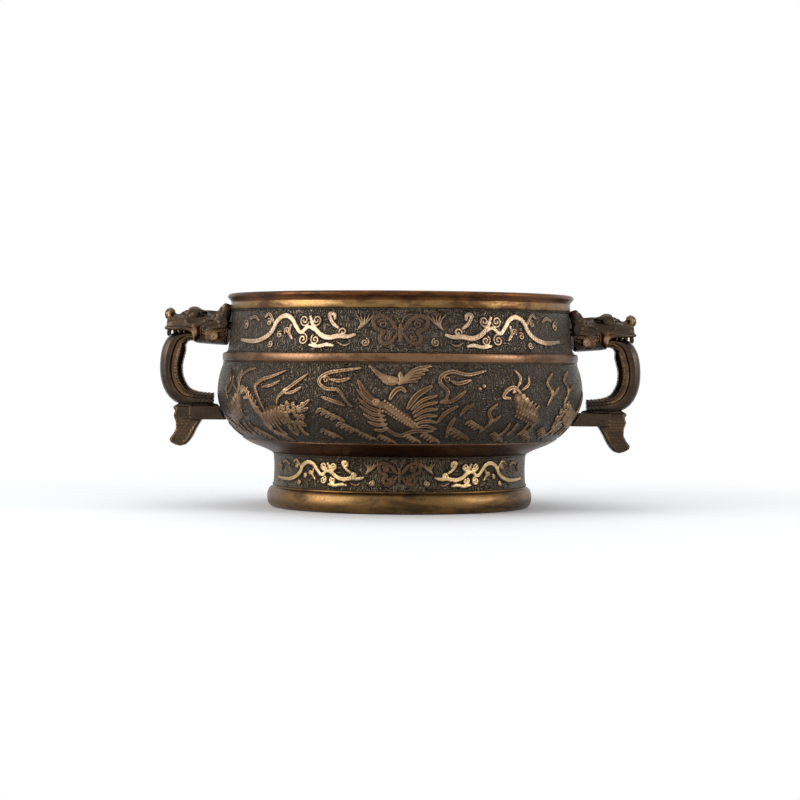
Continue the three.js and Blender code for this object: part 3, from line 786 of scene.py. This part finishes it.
def bronze(name, ground, relief, crest, worm, bump, stainAndShade, patches):
    material = bpy.data.materials.new(name)
    material.use_nodes = True
    tree = material.node_tree
    shader = tree.nodes["Principled BSDF"]
    shader.inputs["Metallic"].default_value = 1.0
    node = tree.nodes.new("ShaderNodeGroup")
    node.node_tree = agedBronze
    node.inputs["Ground"].default_value = (*ground, 1)
    node.inputs["Relief"].default_value = (*relief, 1)
    node.inputs["Crest"].default_value = (*crest, 1)
    node.inputs["StainAndShade"].default_value = (*stainAndShade, 1)
    node.inputs["Worm"].default_value = worm
    node.inputs["Patches"].default_value = patches
    mask = tree.nodes.new("ShaderNodeAttribute")
    mask.attribute_name = "relief"
    tree.links.new(mask.outputs["Fac"], node.inputs["Mask"])
    tree.links.new(node.outputs["Color"], shader.inputs["Base Color"])
    tree.links.new(node.outputs["Roughness"], shader.inputs["Roughness"])
    relief = tree.nodes.new("ShaderNodeBump")
    relief.inputs["Strength"].default_value = bump
    relief.inputs["Distance"].default_value = 0.0006
    tree.links.new(node.outputs["Height"], relief.inputs["Height"])
    tree.links.new(relief.outputs["Normal"], shader.inputs["Normal"])
    return material


print("materials")
agedBronze = bronzeGroup()
dark, brown = (0.022, 0.018, 0.015), (0.03, 0.014, 0.008)
finishes = {
    "bellyBronze": bronze("bellyBronze", (0.03, 0.027, 0.023), (0.1, 0.052, 0.026), (0.42, 0.27, 0.15), 1.0, 0.7,
                          dark, 0.35),
    "neckBronze": bronze("neckBronze", (0.03, 0.027, 0.023), (0.12, 0.072, 0.042), (0.56, 0.39, 0.25), 1.0, 0.7,
                         dark, 0.3),
    "footBronze": bronze("footBronze", (0.024, 0.02, 0.016), (0.1, 0.056, 0.03), (0.62, 0.43, 0.21), 1.0, 0.7,
                         dark, 0.3),
    "lipBronze": bronze("lipBronze", (0.13, 0.052, 0.018), (0.13, 0.052, 0.018), (0.3, 0.14, 0.05), 0.0, 0.12,
                        brown, 0.85),
    "giltBand": bronze("giltBand", (0.23, 0.135, 0.052), (0.23, 0.135, 0.052), (0.6, 0.42, 0.2), 0.0, 0.12,
                       (0.06, 0.026, 0.012), 0.85),
    "filletCopper": bronze("filletCopper", (0.18, 0.1, 0.055), (0.18, 0.1, 0.055), (0.5, 0.34, 0.2), 0.0, 0.15,
                           (0.055, 0.026, 0.014), 0.75),
    "cupBronze": bronze("cupBronze", (0.085, 0.026, 0.009), (0.085, 0.026, 0.009), (0.2, 0.1, 0.04), 0.0, 0.12,
                        brown, 0.6),
    "insideBronze": bronze("insideBronze", (0.07, 0.042, 0.027), (0.07, 0.042, 0.027), (0.15, 0.09, 0.05), 0.1, 0.3,
                           dark, 0.6),
    "rollGilt": bronze("rollGilt", (0.17, 0.095, 0.036), (0.17, 0.095, 0.036), (0.6, 0.44, 0.22), 0.0, 0.2,
                       (0.045, 0.027, 0.014), 0.8),
    "handleBronze": bronze("handleBronze", (0.036, 0.032, 0.026), (0.12, 0.068, 0.035), (0.42, 0.28, 0.16), 0.0, 0.25,
                           dark, 0.45),
    "rivetBronze": bronze("rivetBronze", (0.08, 0.05, 0.03), (0.12, 0.07, 0.04), (0.3, 0.18, 0.1), 0.0, 0.2,
                          dark, 0.4),
}


def dress(piece, names, nodes):
    if piece.data.materials:
        piece.data.materials.clear()
    for name in names:
        piece.data.materials.append(finishes[name])
    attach(piece, "root")
    if nodes:
        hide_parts(*nodes)


print("bowl")
neck = neckProfile()
belly = bellyProfile()


def neckOrnament(field):
    butterfly(field, 10.5, 1.0)
    chilong(field, 1.0, 1.0, 1.0)


dress(bodyRing(), ["lipBronze", "giltBand", "filletCopper", "cupBronze", "insideBronze"],
      ["bowl"])
dress(friezeRing("bellyFrieze", belly, bowl["bellyLow"], bowl["bellyHigh"], bellyScene),
      ["bellyBronze"], [])
dress(friezeRing("neckFrieze", neck, bowl["filletTop"], bowl["neckTop"], neckOrnament),
      ["neckBronze"], [])

print("foot")
dress(footRing(), ["rollGilt", "footBronze", "insideBronze"], ["foot_ring"])
dress(plateMesh(), ["insideBronze"], ["floor_plate"])

print("handles")
for side in ("left", "right"):
    handle = Handle(side)
    dress(headPiece(handle), ["handleBronze"], [side + "_head"])
    dress(loopPiece(handle), ["handleBronze"], [side + "_loop"])
    dress(pendantPiece(handle), ["handleBronze"], [side + "_pendant"])

for name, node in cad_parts.items():
    if "rivet" in name:
        node.data.materials.clear()
        node.data.materials.append(finishes["rivetBronze"])

print("stage")
studio = {"distance": 1.17, "eyeHigh": 0.0763, "lens": 100.6, "pitchDown": 1.025, "roll": 0.43,
          "shadowFrom": 0.12, "shadowTo": 0.34}
camera = bpy.data.objects.new("camera", bpy.data.cameras.new("camera"))
camera.data.lens = studio["lens"]
camera.data.sensor_width = 36
camera.data.clip_start = 0.01
pitch = Matrix.Rotation(math.radians(90 - studio["pitchDown"]), 4, "X")
roll = Matrix.Rotation(math.radians(studio["roll"]), 4, "Z")
camera.matrix_world = Matrix.Translation((0, -studio["distance"], studio["eyeHigh"])) @ pitch @ roll
bpy.context.scene.collection.objects.link(camera)
bpy.context.scene.camera = camera



def seen(tree):
    rays = tree.nodes.new("ShaderNodeLightPath")
    mirrored = math2(tree, "MAXIMUM", rays.outputs["Is Glossy Ray"], rays.outputs["Is Transmission Ray"])
    return math2(tree, "MAXIMUM", rays.outputs["Is Camera Ray"], mirrored)


bpy.ops.mesh.primitive_plane_add(size=12, location=(0, 0, -0.0002))
floor = bpy.context.object
floor.name = "floor"
floorPaint = bpy.data.materials.new("floorPaint")
floorPaint.use_nodes = True
floorPaint.node_tree.nodes["Principled BSDF"].inputs["Base Color"].default_value = (0.93, 0.93, 0.93, 1)
floorPaint.node_tree.nodes["Principled BSDF"].inputs["Roughness"].default_value = 0.7
paint = floorPaint.node_tree  # away from the burner the floor goes over into the white behind it
place = paint.nodes.new("ShaderNodeTexCoord").outputs["Object"]
away = paint.nodes.new("ShaderNodeVectorMath")
away.operation = "LENGTH"
paint.links.new(place, away.inputs[0])
far = ranged(paint, away.outputs["Value"], studio["shadowFrom"], studio["shadowTo"])
glow = paint.nodes.new("ShaderNodeEmission")
fade = paint.nodes.new("ShaderNodeMixShader")
paint.links.new(math2(paint, "MULTIPLY", far, seen(paint)), fade.inputs[0])
paint.links.new(paint.nodes["Principled BSDF"].outputs[0], fade.inputs[1])
paint.links.new(glow.outputs[0], fade.inputs[2])
paint.links.new(fade.outputs[0], paint.nodes["Material Output"].inputs["Surface"])
floor.data.materials.append(floorPaint)

world = bpy.data.worlds.new("studio")
world.use_nodes = True
bpy.context.scene.world = world
tree = world.node_tree
light = tree.nodes["Background"]
light.inputs["Color"].default_value = (0.9, 0.94, 1, 1)
light.inputs["Strength"].default_value = 0.5
white = tree.nodes.new("ShaderNodeBackground")
white.inputs["Color"].default_value = (1, 1, 1, 1)
blend = tree.nodes.new("ShaderNodeMixShader")
tree.links.new(seen(tree), blend.inputs[0])
tree.links.new(light.outputs[0], blend.inputs[1])
tree.links.new(white.outputs[0], blend.inputs[2])
tree.links.new(blend.outputs[0], tree.nodes["World Output"].inputs["Surface"])

lamps = {
    "leftSoftbox": {"place": (-1.25, -0.6, 0.45), "size": 0.9, "power": 17},
    "rightSoftbox": {"place": (1.3, -0.45, 0.4), "size": 0.45, "power": 8},
    "topSoftbox": {"place": (0, 0.1, 1.3), "size": 1.2, "power": 6},
}
for name, values in lamps.items():
    lamp = bpy.data.objects.new(name, bpy.data.lights.new(name, "AREA"))
    lamp.data.shape = "SQUARE"
    lamp.data.size = values["size"]
    lamp.data.energy = values["power"]
    lamp.location = values["place"]
    lamp.rotation_euler = (Vector((0, 0, 0.06)) - lamp.location).to_track_quat("-Z", "Y").to_euler()
    bpy.context.scene.collection.objects.link(lamp)

bpy.context.scene.view_settings.view_transform = "Standard"
